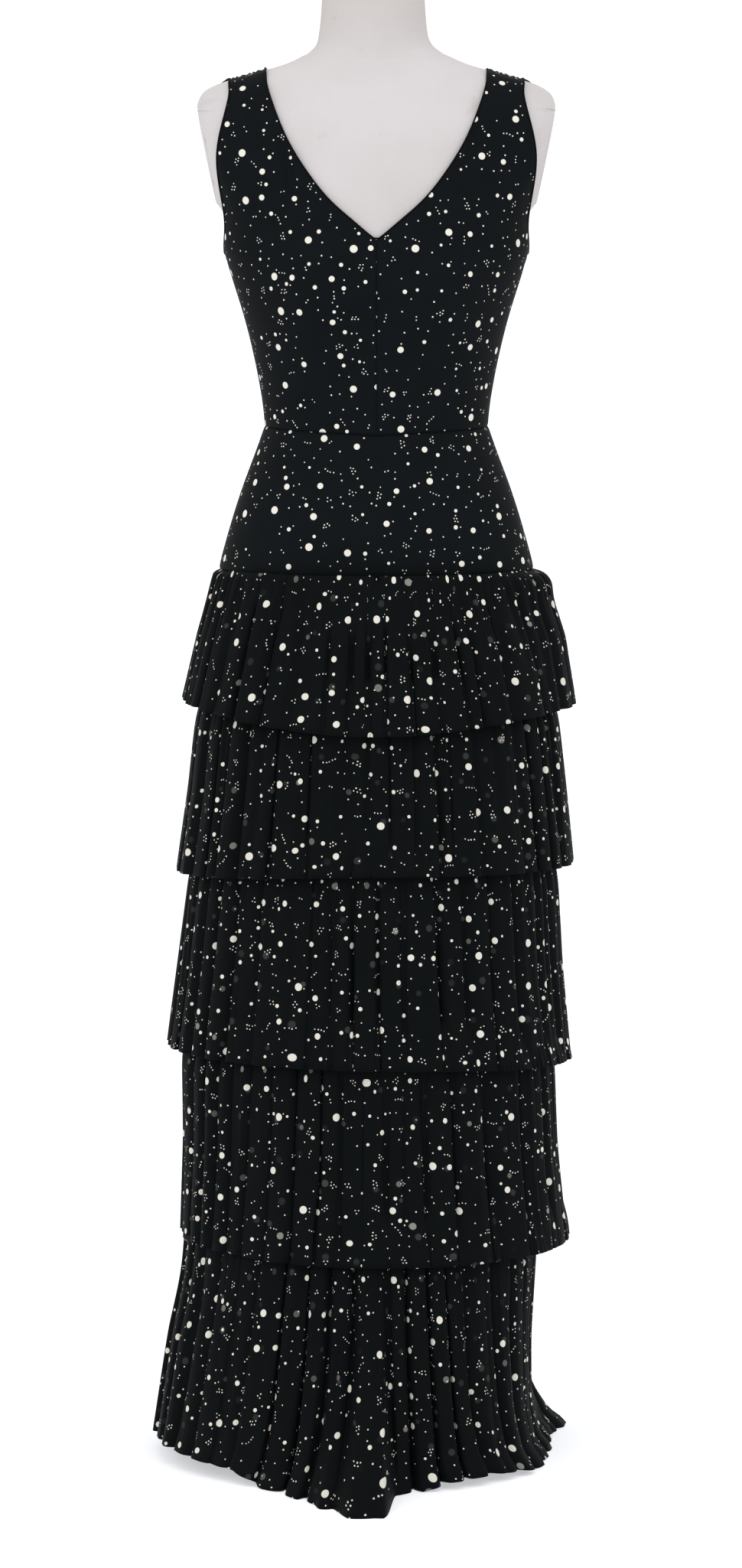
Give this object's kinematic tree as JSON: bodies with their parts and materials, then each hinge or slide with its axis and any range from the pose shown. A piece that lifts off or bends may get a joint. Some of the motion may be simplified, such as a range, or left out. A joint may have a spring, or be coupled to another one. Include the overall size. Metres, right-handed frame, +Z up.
{
  "type": "evening gown on dress form",
  "caption": "Sleeveless V-neck evening gown with a fitted hip yoke and gathered overlapping tiers to the floor, worn by a limbless dress form on a pole stand.",
  "frame": {"origin": "centre of the stand base's underside, on the floor", "axes": "+Z up along the pole, -Y towards the gown's front, +X towards the wearer's left"},
  "size_m": [0.4594, 0.5184, 1.62],
  "materials": {
    "printed_crepe": "black crepe georgette with a fine ivory dot print, dull with a faint sheen",
    "form_cover": "off-white woven linen cover, matt",
    "stand_steel": "grey satin paint",
    "zip_tape": "black woven zip tape",
    "zip_metal": "black lacquered metal"
  },
  "bodies": {
    "gown_and_form": {"bodice_front_left": "printed_crepe", "bodice_front_right": "printed_crepe", "bodice_back_left": "printed_crepe", "bodice_back_right": "printed_crepe", "yoke_front": "printed_crepe", "yoke_back_left": "printed_crepe", "yoke_back_right": "printed_crepe", "foundation_front": "printed_crepe", "foundation_back": "printed_crepe", "tier_1_front": "printed_crepe", "tier_1_back": "printed_crepe", "tier_2_front": "printed_crepe", "tier_2_back": "printed_crepe", "tier_3_front": "printed_crepe", "tier_3_back": "printed_crepe", "tier_4_front": "printed_crepe", "tier_4_back": "printed_crepe", "tier_5_front": "printed_crepe", "tier_5_back": "printed_crepe", "form_torso": "form_cover", "form_plate_left": "form_cover", "form_plate_right": "form_cover", "stand_base": "stand_steel", "stand_pole": "stand_steel", "stand_flange": "stand_steel", "back_zip": "zip_tape", "zip_slider": "zip_metal"},
    "zip_pull": {"zip_pull": "zip_metal"}
  },
  "joints": [
    {"name": "zip_pull_hinge", "type": "hinge", "parent": "gown_and_form", "child": "zip_pull", "pos_m": [0, 0.1088, 1.405], "axis": [1, 0, 0], "range_deg": [0, 150]}
  ]
}
